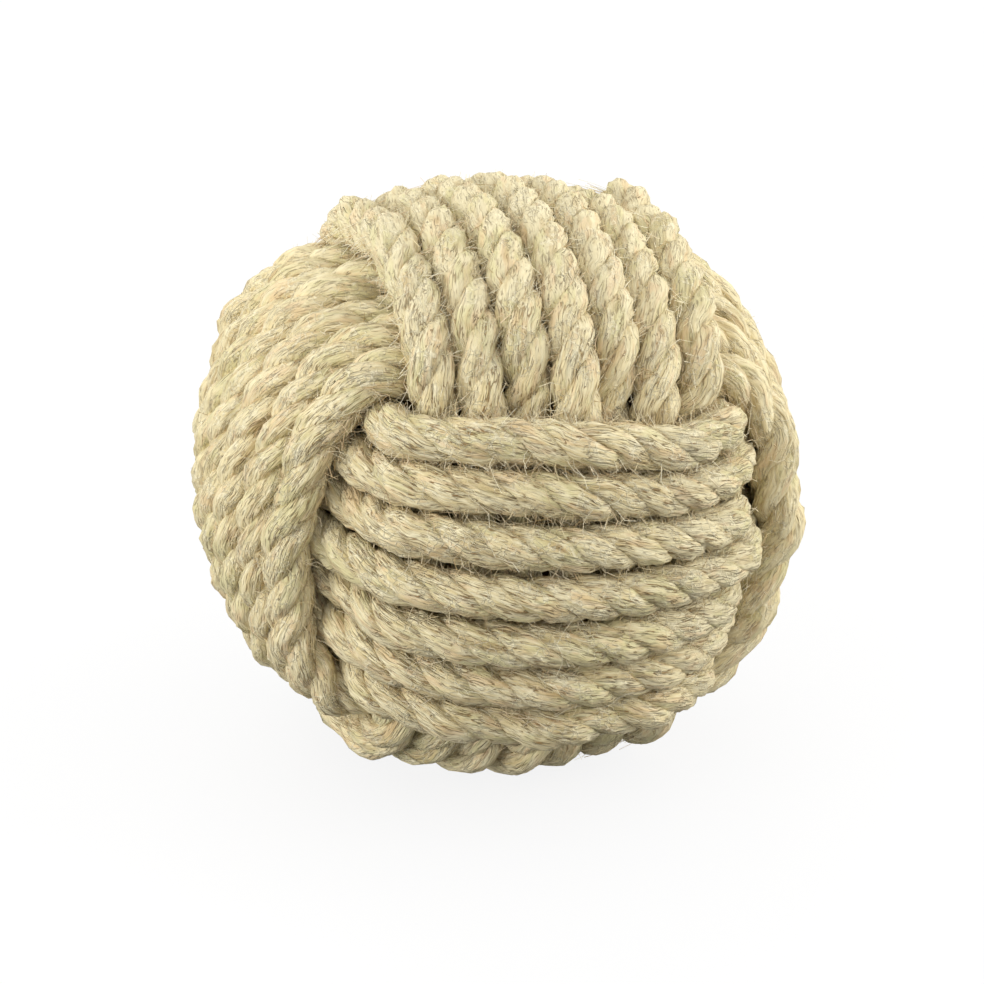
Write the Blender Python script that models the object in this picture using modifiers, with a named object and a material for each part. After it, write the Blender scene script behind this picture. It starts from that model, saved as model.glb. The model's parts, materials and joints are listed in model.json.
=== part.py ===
"""Rope ball: a monkey's fist of laid jute rope, worked round a wooden ball.

One rope makes three bands at right angles. The first passes over the top and the bottom, the
second round the front and the back, and the third down both sides. Each band lies over one
neighbour and under the other, so the rope crosses itself in two layers all over the core. The
two ends are bound with twine and tucked in under the outer layer.

Units are metres and +Z is up. The ball stands on a small flat at z = 0, with the middle of its
bounding box over the origin. The front is towards -Y.
"""

import math

import bmesh
import bpy
import numpy as np
from mathutils import Vector

NAME = "rope_ball"

# Rope and core
CORE_DIAMETER = 0.0870
ROPE_DIAMETER = 0.0090
TURN_GAP = 0.0007
CORE_GAP = 0.0003

# Turns in each band, and the air that each face of the ball shows between them
TURNS = 7
TOP_SPREAD = 0.0003
BOTTOM_SPREAD = 0.0003
FRONT_SPREAD = 0.0015
BACK_SPREAD = 0.0006
LEFT_SPREAD = 0.0006
RIGHT_SPREAD = 0.0004

# How far each band lies off the middle of the ball, how far the knot leans to the right, and how
# far the side turns swing forward there
TOP_BAND_OFFSET = 0.0010
FRONT_BAND_OFFSET = -0.0004
SIDE_BAND_OFFSET = 0.0
KNOT_LEAN = math.radians(6.3)
SIDE_SWING = math.radians(4.0)

# Twine bound round the rope's two hidden ends
WHIPPING_LENGTH = 0.0080
WHIPPING_WALL = 0.0008
WHIPPING_GAP = 0.0003
END_MARGIN = 0.0045

# How far the turns underneath are pressed up, and the flat that the ball stands on
STANDING_PRESS = 0.0005
STANDING_CUT = 0.0009

# Fineness of the route and of the solids
ROUTE_STEP = 0.0026
POINTS_PER_TURN = 24
POINTS_PER_CORNER = 6
CORE_SEGMENTS = 32
CORE_RINGS = 20
WHIPPING_SIDES = 12

CONTACT = ROPE_DIAMETER + TURN_GAP
INNER_RADIUS = CORE_DIAMETER / 2 + CORE_GAP + ROPE_DIAMETER / 2
OUTER_RADIUS = INNER_RADIUS + CONTACT
END_RUN = WHIPPING_LENGTH + END_MARGIN

AXIS_X, AXIS_Y, AXIS_Z = np.eye(3)

# The way from one band to the next, round the last turn's corner: shares of the outer radius
# along the finished band's normal, its outer axis and its inner axis
CORNER_STATIONS = [(0.48, 0.72, 0.52), (0.56, 0.57, 0.66), (0.56, 0.56, 0.43)]


class Band:
    """Turns side by side along the normal, outside on the outer axis, inside on the inner one."""

    def __init__(self, normal, outer_axis, inner_axis, first_side, spreads, offset):
        self.normal = normal
        self.outer_axis = outer_axis
        self.inner_axis = inner_axis
        self.first_side = first_side
        self.pitches = [ROPE_DIAMETER + spread for spread in spreads]
        self.offset = offset

    def point(self, degrees):
        """Centre line at a running angle, with 90 in the middle of the first inner crossing."""
        crossing = (degrees + 90) // 360 - 1
        past_middle = (degrees + 90) % 360 - 180
        turn = crossing + smooth_step((past_middle + 45) / 90)
        angle = math.radians(degrees)
        near_share = (1 + math.cos(angle)) / 2
        pitch = self.pitches[0] * near_share + self.pitches[1] * (1 - near_share)
        across = self.offset + self.first_side * pitch * ((TURNS - 1) / 2 - turn)
        radius = layer_radius(angle)
        around = math.sqrt(max(radius ** 2 - across ** 2, (radius / 10) ** 2))
        direction = math.cos(angle) * self.outer_axis + math.sin(angle) * self.inner_axis
        return across * self.normal + around * direction

    def run(self, start, stop):
        """Centre line from one running angle to another, a point every 9 degrees."""
        return [self.point(degrees) for degrees in np.arange(start, stop + 0.001, 9.0)]

    def corner(self):
        """Way round the corner where the last turn leaves the band."""
        last_side = -self.first_side * self.normal
        axes = np.array([last_side, self.outer_axis, self.inner_axis])
        return [OUTER_RADIUS * (np.array(station) @ axes) for station in CORNER_STATIONS]


def smooth_step(share):
    """Ease from 0 to 1."""
    share = min(max(share, 0.0), 1.0)
    return share * share * (3 - 2 * share)


def layer_radius(angle):
    """Centre line's distance from the ball's centre: outside at 0 and 180 degrees, else inside."""
    flatness = 2.5
    share = 0.5 + 0.5 * math.tanh(flatness * math.cos(2 * angle)) / math.tanh(flatness)
    return INNER_RADIUS + CONTACT * share


def planned_route():
    """Centre line of the whole rope before it settles, about the ball's centre."""
    top = Band(AXIS_X, AXIS_Z, AXIS_Y, -1, (TOP_SPREAD, BOTTOM_SPREAD), TOP_BAND_OFFSET)
    front = Band(AXIS_Z, AXIS_Y, AXIS_X, 1, (BACK_SPREAD, FRONT_SPREAD), FRONT_BAND_OFFSET)
    side = Band(AXIS_Y, AXIS_X, -AXIS_Z, 1, (RIGHT_SPREAD, LEFT_SPREAD), SIDE_BAND_OFFSET)
    last_crest = 360 * TURNS
    points = top.run(95, last_crest + 20) + top.corner()
    points += front.run(78, last_crest + 20) + front.corner()
    points += side.run(78, last_crest + 62)
    route = curve_through(np.array(points))
    swing = np.array([[1, 0, 0], [-math.tan(SIDE_SWING), 1, 0], [0, 0, 1]])
    swung = route @ swing.T
    swung *= (np.linalg.norm(route, axis=1) / np.linalg.norm(swung, axis=1))[:, None]
    cosine = math.cos(KNOT_LEAN)
    sine = math.sin(KNOT_LEAN)
    lean = np.array([[cosine, 0, sine], [0, 1, 0], [-sine, 0, cosine]])
    return swung @ lean.T


def curve_through(points, pieces=8):
    """Smooth curve through the points, as a Catmull-Rom spline."""
    padded = np.vstack([2 * points[0] - points[1], points, 2 * points[-1] - points[-2]])
    share = (np.arange(pieces) / pieces)[:, None]
    spans = []
    for before, here, there, after in zip(padded, padded[1:], padded[2:], padded[3:]):
        slope = there - before
        bend = 2 * before - 5 * here + 4 * there - after
        twist = 3 * here - before - 3 * there + after
        spans.append(here + 0.5 * (slope * share + bend * share ** 2 + twist * share ** 3))
    return np.vstack(spans + [points[-1:]])


def arc_lengths(points):
    """Distance along the line at each point."""
    steps = np.linalg.norm(np.diff(points[:, :3], axis=0), axis=1)
    return np.concatenate([[0.0], np.cumsum(steps)])


def evenly_spaced(points, spacing):
    """The same line with points at an even spacing; further columns are carried along."""
    along = arc_lengths(points)
    wanted = np.linspace(0, along[-1], int(round(along[-1] / spacing)) + 1)
    return np.stack([np.interp(wanted, along, column) for column in points.T], axis=1)


def close_pairs(points, along, reach):
    """Pairs of points nearer than the reach that lie on different turns."""
    squares = (points ** 2).sum(axis=1)
    distances = squares[:, None] + squares[None, :] - 2 * points @ points.T
    first, second = np.nonzero(distances < reach ** 2)
    apart = along[second] - along[first] > 1.45 * CONTACT
    return first[apart], second[apart]


def pushes_apart(points, pairs, distances):
    """Sum of the moves that part each touching pair by half its lack, and the touches counted."""
    first, second = pairs
    between = points[second] - points[first]
    length = np.linalg.norm(between, axis=1)
    touching = length < distances
    first, second = first[touching], second[touching]
    lack = (distances[touching] - length[touching]) / length[touching]
    move = between[touching] * (0.5 * lack)[:, None]
    total = np.zeros_like(points)
    for axis in range(3):
        total[:, axis] += np.bincount(second, move[:, axis], len(points))
        total[:, axis] -= np.bincount(first, move[:, axis], len(points))
    touches = np.bincount(first, minlength=len(points)) + np.bincount(second, minlength=len(points))
    return total, touches


def settle(route, growing=260, holding=200):
    """Draw the rope tight: it grows from a thin line until its turns bear on each other.

    A slight tension shortens it, a slight pull keeps each turn near its plan, and a slight
    squeeze rounds the ball. All three ease off while the last touching turns are parted. The
    ground holds up the lowest turns all the while.
    """
    ground = STANDING_PRESS - OUTER_RADIUS
    planned = np.hstack([route, route])
    for step in range(growing + holding):
        if step % 20 == 0:
            planned = evenly_spaced(planned, ROUTE_STEP)
            points = planned[:, :3].copy()
            plan = planned[:, 3:]
            along = arc_lengths(points)
        girth = CONTACT * (0.4 + 0.6 * min(1.0, step / growing))
        if step % 10 == 0:
            pairs = close_pairs(points, along, girth + CONTACT / 3)
        ease = min(1.0, max(0.0, 1 - (step - growing) / (0.6 * holding)))
        points += 0.03 * ease * (plan - points)
        radius = np.linalg.norm(points, axis=1)
        beyond = np.maximum(0, radius - OUTER_RADIUS - 0.1 * ROPE_DIAMETER)
        points *= (1 - (0.02 + 0.08 * ease) * beyond / radius)[:, None]
        points[1:-1] += (0.2 - 0.05 * ease) * ((points[:-2] + points[2:]) / 2 - points[1:-1])
        for repeat in range(2 if step < growing else 4):
            move, touches = pushes_apart(points, pairs, np.full(len(pairs[0]), girth))
            points += 1.6 * move / np.maximum(touches, 1)[:, None]
            lift = (INNER_RADIUS + (girth - CONTACT) / 2) / np.linalg.norm(points, axis=1)
            points *= np.maximum(1, lift)[:, None]
            points[:, 2] = np.maximum(points[:, 2], ground)
        planned = np.hstack([points, plan])
    return planned[:, :3]


def stations(route):
    """Corners of the drawn rope: closer where it bends, with one straight run at each end."""
    line = evenly_spaced(route, ROUTE_STEP)
    along = arc_lengths(line)
    tangent = np.gradient(line, axis=0)
    tangent /= np.linalg.norm(tangent, axis=1)[:, None]
    bend = np.linalg.norm(np.gradient(tangent, axis=0), axis=1) / ROUTE_STEP
    bend = np.convolve(bend, np.ones(5) / 5, "same")
    weight = 1 + 2.2 * ROPE_DIAMETER * bend
    effort = np.concatenate([[0], np.cumsum((weight[1:] + weight[:-1]) / 2)])
    count = 3 * TURNS * POINTS_PER_TURN + 2 * POINTS_PER_CORNER
    ends = np.interp([END_RUN, along[-1] - END_RUN], along, effort)
    wanted = np.concatenate([[0], np.linspace(*ends, count - 2), effort[-1:]])
    return np.stack([np.interp(wanted, effort, column) for column in line.T], axis=1)


def seat_chords(corners, rounds=110, samples=5):
    """Move the corners until the straight runs between them clear each other and the core."""
    ground = STANDING_PRESS - OUTER_RADIUS
    count = len(corners)
    start = np.repeat(np.arange(count - 1), samples)
    share = np.tile((np.arange(samples) + 0.5) / samples, count - 1)
    on_end = (start == 0) | (start == count - 2)
    extra = np.where(on_end, WHIPPING_GAP + WHIPPING_WALL, 0.0)
    for step in range(rounds):
        points = corners[start] * (1 - share)[:, None] + corners[start + 1] * share[:, None]
        if step % 10 == 0:
            lengths = arc_lengths(corners)
            along = lengths[start] * (1 - share) + lengths[start + 1] * share
            pairs = close_pairs(points, along, CONTACT + 0.5 * ROPE_DIAMETER)
        wanted = CONTACT + 0.01 * ROPE_DIAMETER + extra[pairs[0]] + extra[pairs[1]]
        move, touches = pushes_apart(points, pairs, wanted)
        radius = np.linalg.norm(points, axis=1)
        lack = np.maximum(0, INNER_RADIUS + extra - radius)
        move += points * (lack / radius)[:, None]
        touches = touches + (lack > 0)
        move /= np.maximum(touches, 1)[:, None]
        pushed = (touches > 0).astype(float)
        total = np.zeros_like(corners)
        for axis in range(3):
            total[:, axis] += np.bincount(start, move[:, axis] * (1 - share), count)
            total[:, axis] += np.bincount(start + 1, move[:, axis] * share, count)
        weight = np.bincount(start, pushed * (1 - share), count)
        weight += np.bincount(start + 1, pushed * share, count)
        corners = corners + 1.5 * total / np.maximum(weight, 1e-9)[:, None]
        corners[:, 2] = np.maximum(corners[:, 2], ground)
    return corners


def least_gap(corners, spacing=0.001):
    """Least distance between the surfaces of two turns, on points along the straight runs."""
    lengths = arc_lengths(corners)
    wanted = np.arange(0, lengths[-1], spacing)
    points = np.stack([np.interp(wanted, lengths, column) for column in corners.T], axis=1)
    first, second = close_pairs(points, wanted, 1.5 * CONTACT)
    return np.linalg.norm(points[first] - points[second], axis=1).min() - ROPE_DIAMETER


def material(name, colour, roughness):
    """Principled material with one colour."""
    made = bpy.data.materials.new(name)
    made.use_nodes = True
    shader = made.node_tree.nodes["Principled BSDF"]
    shader.inputs["Base Color"].default_value = (*colour, 1.0)
    shader.inputs["Roughness"].default_value = roughness
    shader.inputs["Metallic"].default_value = 0.0
    return made


def collection(name):
    """New collection in the scene."""
    made = bpy.data.collections.new(name)
    bpy.context.scene.collection.children.link(made)
    return made


def add_object(name, data, where, parent=None, look=None):
    """Object with its data, collection, parent and material."""
    made = bpy.data.objects.new(name, data)
    where.objects.link(made)
    made.parent = parent
    if look:
        data.materials.append(look)
    return made


def rope_solid(corners, where, parent, look):
    """The rope's tube as one closed mesh."""
    curve = bpy.data.curves.new("rope_line", "CURVE")
    curve.dimensions = "3D"
    curve.bevel_depth = ROPE_DIAMETER / 2
    curve.bevel_resolution = 1
    curve.use_fill_caps = True
    line = curve.splines.new("POLY")
    line.points.add(len(corners) - 1)
    for point, corner in zip(line.points, corners):
        point.co = (*corner, 1.0)
    tube = add_object("rope_line", curve, where)
    bpy.context.view_layer.update()
    evaluated = tube.evaluated_get(bpy.context.evaluated_depsgraph_get())
    mesh = bpy.data.meshes.new_from_object(evaluated)
    shape = bmesh.new()
    shape.from_mesh(mesh)
    bmesh.ops.remove_doubles(shape, verts=shape.verts, dist=0.00001)
    shape.to_mesh(mesh)
    shape.free()
    rope = add_object("rope", mesh, where, parent)
    rope.matrix_world = tube.matrix_world
    bpy.data.objects.remove(tube)
    mesh.materials.clear()
    mesh.materials.append(look)
    mesh.shade_smooth()
    return rope


def core_solid(where, parent, look):
    """Wooden ball in the middle."""
    mesh = bpy.data.meshes.new("core_ball")
    shape = bmesh.new()
    bmesh.ops.create_uvsphere(
        shape, u_segments=CORE_SEGMENTS, v_segments=CORE_RINGS, radius=CORE_DIAMETER / 2)
    shape.to_mesh(mesh)
    shape.free()
    mesh.shade_smooth()
    return add_object("core_ball", mesh, where, parent, look)


def whipping_solid(name, end, inward, where, parent, look):
    """Sleeve of twine round the rope, half the end margin in from its cut end."""
    flat = 1 / math.cos(math.pi / WHIPPING_SIDES)
    bore = (ROPE_DIAMETER / 2 + WHIPPING_GAP) * flat
    mesh = bpy.data.meshes.new(name)
    shape = bmesh.new()
    bmesh.ops.create_cone(
        shape, segments=WHIPPING_SIDES, radius1=bore, radius2=bore, depth=WHIPPING_LENGTH,
        cap_ends=False)
    shape.to_mesh(mesh)
    shape.free()
    sleeve = add_object(name, mesh, where, parent, look)
    wall = sleeve.modifiers.new("wall", "SOLIDIFY")
    wall.thickness = WHIPPING_WALL
    wall.offset = 1
    direction = Vector(inward - end).normalized()
    sleeve.rotation_mode = "QUATERNION"
    sleeve.rotation_quaternion = direction.to_track_quat("Z", "Y")
    sleeve.location = Vector(end) + direction * (END_MARGIN / 2 + WHIPPING_LENGTH / 2)
    return sleeve


def standing_cutter(rope, size, where, parent):
    """Block below the flat that the ball stands on."""
    mesh = bpy.data.meshes.new("standing_cutter")
    shape = bmesh.new()
    bmesh.ops.create_cube(shape, size=size)
    shape.to_mesh(mesh)
    shape.free()
    block = add_object("standing_cutter", mesh, where, parent)
    block.location = (0, 0, lowest(rope) + STANDING_CUT - size / 2)
    block.hide_render = True
    block.display_type = "WIRE"
    cut = rope.modifiers.new("standing flat", "BOOLEAN")
    cut.operation = "DIFFERENCE"
    cut.object = block
    return block


def lowest(rope):
    """Height of the rope's lowest point about the ball's centre."""
    return min(vertex.co.z for vertex in rope.data.vertices)


def middle(rope, axis):
    """Middle of the rope's extent along an axis."""
    reach = [vertex.co[axis] for vertex in rope.data.vertices]
    return (min(reach) + max(reach)) / 2


def build():
    """Make the ball's pieces and stand them on the ground."""
    for old in list(bpy.data.objects):
        bpy.data.objects.remove(old, do_unlink=True)
    pieces = collection(NAME)
    cutters = collection(NAME + "_cutters")
    jute = material("jute_rope", (0.56, 0.45, 0.28), 0.9)
    wood = material("core_wood", (0.50, 0.34, 0.20), 0.6)
    twine = material("whipping_twine", (0.40, 0.30, 0.18), 0.85)

    settled = settle(planned_route())
    corners = seat_chords(stations(settled))
    centre = add_object("ball_centre", None, pieces)
    rope = rope_solid(corners, pieces, centre, jute)
    core_solid(pieces, centre, wood)
    whipping_solid("whipping_start", corners[0], corners[1], pieces, centre, twine)
    whipping_solid("whipping_finish", corners[-1], corners[-2], pieces, centre, twine)
    standing_cutter(rope, 4 * OUTER_RADIUS, cutters, centre)
    centre.location = (-middle(rope, 0), -middle(rope, 1), -lowest(rope) - STANDING_CUT)

    print("least gap between turns: %.2f mm" % (least_gap(corners) * 1000))
    print("length of rope: %.2f m" % arc_lengths(corners)[-1])
    print("ball centre at (%.2f, %.2f, %.2f) mm" % tuple(1000 * v for v in centre.location))


build()
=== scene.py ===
# %% [markdown]
# # A rope ball, dressed for its picture
#
# The object is a monkey's fist: one jute rope wound in three bands round a wooden ball. The solid
# model gives its true size and place. This lesson lays real strands along the same route, gives
# them a matted fibre finish and loose hairs, and sets a plain studio round them.

# %% Load the solid model
import json
import math

import bpy
import numpy as np
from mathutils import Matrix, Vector

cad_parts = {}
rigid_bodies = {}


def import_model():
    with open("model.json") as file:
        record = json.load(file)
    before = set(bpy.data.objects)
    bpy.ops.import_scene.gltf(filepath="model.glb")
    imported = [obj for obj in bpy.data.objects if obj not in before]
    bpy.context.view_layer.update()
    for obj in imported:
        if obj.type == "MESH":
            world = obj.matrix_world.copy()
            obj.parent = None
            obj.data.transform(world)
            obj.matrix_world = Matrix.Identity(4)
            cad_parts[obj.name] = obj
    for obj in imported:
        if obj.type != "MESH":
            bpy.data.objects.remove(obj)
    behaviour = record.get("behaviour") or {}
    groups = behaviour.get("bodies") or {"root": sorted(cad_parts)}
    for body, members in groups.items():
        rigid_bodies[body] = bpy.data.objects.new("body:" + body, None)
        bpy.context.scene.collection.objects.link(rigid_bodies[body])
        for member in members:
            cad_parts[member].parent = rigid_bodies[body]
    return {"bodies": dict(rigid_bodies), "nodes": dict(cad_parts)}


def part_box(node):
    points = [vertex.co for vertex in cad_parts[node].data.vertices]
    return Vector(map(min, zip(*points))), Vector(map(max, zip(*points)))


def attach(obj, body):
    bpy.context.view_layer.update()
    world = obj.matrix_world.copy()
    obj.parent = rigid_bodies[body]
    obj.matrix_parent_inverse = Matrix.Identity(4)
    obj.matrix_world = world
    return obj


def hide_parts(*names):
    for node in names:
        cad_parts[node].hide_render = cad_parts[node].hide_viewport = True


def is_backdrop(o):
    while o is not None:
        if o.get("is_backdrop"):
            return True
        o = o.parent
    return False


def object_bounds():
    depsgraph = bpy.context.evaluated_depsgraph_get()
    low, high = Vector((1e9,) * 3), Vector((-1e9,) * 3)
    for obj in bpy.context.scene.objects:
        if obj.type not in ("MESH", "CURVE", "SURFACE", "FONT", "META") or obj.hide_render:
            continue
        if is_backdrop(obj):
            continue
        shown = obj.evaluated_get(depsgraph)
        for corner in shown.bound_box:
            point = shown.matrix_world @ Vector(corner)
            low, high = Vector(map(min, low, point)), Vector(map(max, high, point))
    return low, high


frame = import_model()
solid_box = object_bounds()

BODY = list(frame["bodies"])[0]
core_low, core_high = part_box("core_ball")
BALL_CENTRE = np.array((core_low + core_high) / 2)
CENTRE = tuple(BALL_CENTRE)
CORE_RADIUS = (core_high.z - core_low.z) / 2
print("solids:", sorted(frame["nodes"]), "on the body", BODY)
print("core ball: radius %.1f mm" % (CORE_RADIUS * 1000))
print("its centre:", np.round(BALL_CENTRE * 1000, 2), "mm")

# %% [markdown]
# ## Sums for node trees
#
# Blender draws materials and repeating shapes as trees of nodes. Wiring each node by hand hides
# the idea, so a small class wraps a socket and turns Python sums into nodes: a value goes through
# Math nodes, a vector through Vector Math. Every other node comes from one method, `node`.

# %% A socket that can be written in sums


class Wire:
    """One output socket of a tree."""

    def __init__(self, graph, socket):
        self.graph = graph
        self.socket = socket
        self.is_vector = socket.type == "VECTOR"

    def output(self, name):
        """Another output of the same node."""
        return Wire(self.graph, self.socket.node.outputs[name])

    def sum(self, operation, other, swapped=False):
        """Math or Vector Math node of this wire and another wire or number."""
        pair = (other, self) if swapped else (self, other)
        vectors = [getattr(part, "is_vector", isinstance(part, tuple)) for part in pair]
        if operation == "MULTIPLY" and any(vectors) and not all(vectors):
            vector, number = pair if vectors[0] else pair[::-1]
            return self.vector_math("SCALE", {0: vector, "Scale": number})
        if any(vectors):
            return self.vector_math(operation, dict(enumerate(pair)))
        return self.math(operation, dict(enumerate(pair)))

    def math(self, operation, sockets):
        return self.graph.node("ShaderNodeMath", {"operation": operation}, sockets)

    def vector_math(self, operation, sockets):
        return self.graph.node("ShaderNodeVectorMath", {"operation": operation}, sockets)

    def __add__(self, other):
        return self.sum("ADD", other)

    def __radd__(self, other):
        return self.sum("ADD", other, True)

    def __sub__(self, other):
        return self.sum("SUBTRACT", other)

    def __rsub__(self, other):
        return self.sum("SUBTRACT", other, True)

    def __mul__(self, other):
        return self.sum("MULTIPLY", other)

    def __rmul__(self, other):
        return self.sum("MULTIPLY", other, True)

    def __truediv__(self, other):
        return self.sum("DIVIDE", other)

    def __rtruediv__(self, other):
        return self.sum("DIVIDE", other, True)

    def __pow__(self, other):
        return self.sum("POWER", other)

    def at_least(self, other):
        return self.sum("MAXIMUM", other)

    def at_most(self, other):
        return self.sum("MINIMUM", other)

    def sine(self):
        return self.math("SINE", {0: self})

    def cosine(self):
        return self.math("COSINE", {0: self})

    def size(self):
        """Length of a vector, or a value without its sign."""
        if self.is_vector:
            return self.vector_math("LENGTH", {0: self}).output("Value")
        return self.math("ABSOLUTE", {0: self})

    def unit(self):
        return self.vector_math("NORMALIZE", {0: self})

    def dot(self, other):
        return self.vector_math("DOT_PRODUCT", {0: self, 1: other}).output("Value")

    def cross(self, other):
        return self.vector_math("CROSS_PRODUCT", {0: self, 1: other})

    def parts(self):
        """X, Y and Z of a vector."""
        node = self.graph.node("ShaderNodeSeparateXYZ", {}, {0: self})
        return [node.output(axis) for axis in "XYZ"]

    def ramp(self, low, high, start=0.0, stop=1.0):
        """Smooth step: start where the value is at or under low, stop at or over high."""
        return self.graph.node(
            "ShaderNodeMapRange", {"interpolation_type": "SMOOTHSTEP"},
            {"Value": self, "From Min": low, "From Max": high, "To Min": start, "To Max": stop})


class Graph:
    """A node tree of a material, of the surroundings or of Geometry Nodes."""

    def __init__(self, tree):
        self.tree = tree

    def node(self, kind, settings, sockets):
        """Add a node, set its settings and then its sockets, and give its first live output."""
        made = self.tree.nodes.new(kind)
        for name, value in settings.items():
            setattr(made, name, value)
        for key, value in sockets.items():
            socket = self.socket(made, key)
            if isinstance(value, Wire):
                self.tree.links.new(value.socket, socket)
            else:
                socket.default_value = value
        live = [socket for socket in made.outputs if socket.enabled]
        return Wire(self, live[0]) if live else made

    def socket(self, made, key):
        """Input by its place, its identifier or its name."""
        if isinstance(key, int):
            return [socket for socket in made.inputs if socket.enabled][key]
        same = [socket for socket in made.inputs if socket.enabled and socket.identifier == key]
        return same[0] if same else [s for s in made.inputs if s.enabled and s.name == key][0]

    def vector(self, x, y, z):
        return self.node("ShaderNodeCombineXYZ", {}, {0: x, 1: y, 2: z})

    def keep(self, geometry, name, value):
        """Store a value or a vector on the points, for later steps and for materials."""
        kind = "FLOAT_VECTOR" if value.is_vector else "FLOAT"
        return self.node(
            "GeometryNodeStoreNamedAttribute", {"data_type": kind, "domain": "POINT"},
            {"Geometry": geometry, "Name": name, "Value": value})

    def kept(self, name, kind="FLOAT_VECTOR"):
        """Read back a stored value."""
        return self.node("GeometryNodeInputNamedAttribute", {"data_type": kind}, {"Name": name})

    def attribute(self, name, output):
        """Read a stored value in a material."""
        return self.node("ShaderNodeAttribute", {"attribute_name": name}, {}).output(output)

    def object_place(self):
        """The point's place in the object, for a material."""
        return self.node("ShaderNodeTexCoord", {}, {}).output("Object")

    def forget(self, geometry, names):
        """Drop stored values that nothing needs any more."""
        for name in names:
            geometry = self.node(
                "GeometryNodeRemoveAttribute", {}, {"Geometry": geometry, "Name": name})
        return geometry

    def noise(self, place, scale, detail=2.0, roughness=0.5, distortion=0.0):
        """Noise between 0 and 1 about 0.5."""
        return self.node("ShaderNodeTexNoise", {}, {
            "Vector": place, "Scale": scale, "Detail": detail, "Roughness": roughness,
            "Distortion": distortion})

    def mix(self, share, first, second):
        """Blend of two colours."""
        return self.node("ShaderNodeMix", {"data_type": "RGBA"}, {
            "Factor_Float": share, "A_Color": first, "B_Color": second})


print("operators ready:", len([name for name in dir(Wire) if name.startswith("__r")]), "reflected")

# %% [markdown]
# ## Trees that make shapes
#
# A Geometry Nodes tree is a recipe with named inputs. It is hung on an object as a modifier, its
# inputs are filled in, and the result is then kept as a plain mesh, so that nothing live is left.

# %% Helpers that build such a tree and keep its result
KINDS = {float: "NodeSocketFloat", int: "NodeSocketInt", bpy.types.Material: "NodeSocketMaterial"}


def shape_tree(name, sizes):
    """Empty Geometry Nodes tree with an input for each size; gives the graph and its inputs."""
    tree = bpy.data.node_groups.new(name, "GeometryNodeTree")
    tree.interface.new_socket("Geometry", in_out="INPUT", socket_type="NodeSocketGeometry")
    for label, value in sizes.items():
        tree.interface.new_socket(label, in_out="INPUT", socket_type=KINDS[type(value)])
    tree.interface.new_socket("Geometry", in_out="OUTPUT", socket_type="NodeSocketGeometry")
    entry = tree.nodes.new("NodeGroupInput")
    graph = Graph(tree)
    return graph, {s.name: Wire(graph, s) for s in entry.outputs if s.name}


def finish_tree(graph, geometry, look):
    """Last steps of each tree: real faces, shaded smooth, with their material."""
    real = graph.node("GeometryNodeRealizeInstances", {}, {"Geometry": geometry})
    smooth = graph.node("GeometryNodeSetShadeSmooth", {}, {"Geometry": real})
    painted = graph.node("GeometryNodeSetMaterial", {}, {"Geometry": smooth, "Material": look})
    graph.node("NodeGroupOutput", {}, {"Geometry": painted})


def grow(name, source, graph, sizes):
    """Plain mesh object that the tree makes out of the source's data with these sizes."""
    seed = bpy.data.objects.new(name + "_seed", source)
    bpy.context.scene.collection.objects.link(seed)
    recipe = seed.modifiers.new("recipe", "NODES")
    recipe.node_group = graph.tree
    for item in graph.tree.interface.items_tree:
        if item.in_out == "INPUT" and item.name in sizes:
            recipe[item.identifier] = sizes[item.name]
    bpy.context.view_layer.update()
    grown = seed.evaluated_get(bpy.context.evaluated_depsgraph_get())
    mesh = bpy.data.meshes.new_from_object(grown)
    mesh.name = name
    seed.modifiers.remove(recipe)
    bpy.data.objects.remove(seed)
    piece = bpy.data.objects.new(name, mesh)
    bpy.context.scene.collection.objects.link(piece)
    mesh.calc_loop_triangles()
    print("%s: %d points, %d triangles" % (name, len(mesh.vertices), len(mesh.loop_triangles)))
    return piece


# %% [markdown]
# ## The route of the rope
#
# A monkey's fist is tied on the fingers: seven turns round the hand, seven round those, and seven
# more through the middle. Drawn tight, each turn finds its own place. So the route starts as a
# plan of three bands and is then settled: the rope grows from a thin line until its turns bear on
# each other and on the ball. It is the same working as in the solid model, so both agree.

# %% Sizes of the rope and its turns
ROPE_DIAMETER = 0.0090
TURN_GAP = 0.0007
CORE_GAP = 0.0003
STANDING_PRESS = 0.0005
CONTACT = ROPE_DIAMETER + TURN_GAP
INNER_RADIUS = CORE_RADIUS + CORE_GAP + ROPE_DIAMETER / 2
OUTER_RADIUS = INNER_RADIUS + CONTACT
GROUND = STANDING_PRESS - OUTER_RADIUS
TURNS = 7
TOP_SPREAD, BOTTOM_SPREAD = 0.0003, 0.0003
BACK_SPREAD, FRONT_SPREAD = 0.0006, 0.0015
RIGHT_SPREAD, LEFT_SPREAD = 0.0004, 0.0006
TOP_BAND_OFFSET, FRONT_BAND_OFFSET, SIDE_BAND_OFFSET = 0.0010, -0.0004, 0.0
KNOT_LEAN = math.radians(6.3)
SIDE_SWING = math.radians(4.0)
ROUTE_STEP = 0.0026
AXIS_X, AXIS_Y, AXIS_Z = np.eye(3)

# Shares of the outer radius along a band's normal and its outer and inner axes
CORNER = [(0.48, 0.72, 0.52), (0.56, 0.57, 0.66), (0.56, 0.56, 0.43)]
print("the rope's middle runs at %.1f and %.1f mm" % (INNER_RADIUS * 1000, OUTER_RADIUS * 1000))

# %% One band of the plan


def smooth_step(share):
    """Ease from 0 to 1."""
    share = min(max(share, 0.0), 1.0)
    return share * share * (3 - 2 * share)


def outer_share(angle):
    """1 where the rope lies outside, at 0 and 180 degrees, and 0 where it lies inside."""
    flatness = 2.5
    return 0.5 + 0.5 * math.tanh(flatness * math.cos(2 * angle)) / math.tanh(flatness)


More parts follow.
